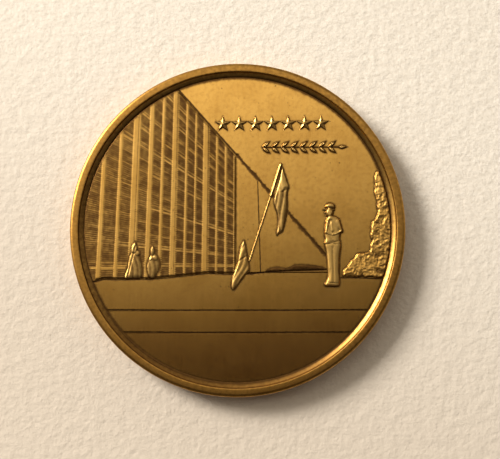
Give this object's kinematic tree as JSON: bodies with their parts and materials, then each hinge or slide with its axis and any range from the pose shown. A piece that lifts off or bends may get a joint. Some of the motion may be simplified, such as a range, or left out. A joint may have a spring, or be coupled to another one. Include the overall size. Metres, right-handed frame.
{
  "type": "challenge coin",
  "caption": "Round die-struck bronze coin with a raised rim, a relief scene of a memorial wall, flags and a standing guard, and a wreath and star reverse.",
  "frame": {"origin": "centre of the coin in the plane of the reverse rim", "axes": "+Z out of the obverse, +Y to the top of the obverse design, +X to its right"},
  "size_m": [0.0398, 0.0398, 0.0032],
  "materials": {
    "field_bronze": "satin antique bronze, brushed fields, polished rim",
    "device_bronze": "satin antique bronze, bright on the high points",
    "shaded_bronze": "satin bronze with dark antiquing in the cuts"
  },
  "bodies": {
    "root": {"planchet": "field_bronze", "wall_panels": "shaded_bronze", "standing_guard": "device_bronze", "draped_visitor_left": "device_bronze", "draped_visitor_right": "device_bronze", "flag_pole": "device_bronze", "hanging_flag": "device_bronze", "leaning_flag": "device_bronze", "shrubbery": "shaded_bronze", "hedge_strip": "shaded_bronze", "star_1": "device_bronze", "star_2": "device_bronze", "star_3": "device_bronze", "star_4": "device_bronze", "star_5": "device_bronze", "star_6": "device_bronze", "star_7": "device_bronze", "laurel_sprig": "device_bronze", "reverse_wreath_left": "device_bronze", "reverse_wreath_right": "device_bronze", "reverse_star": "device_bronze"}
  },
  "joints": []
}
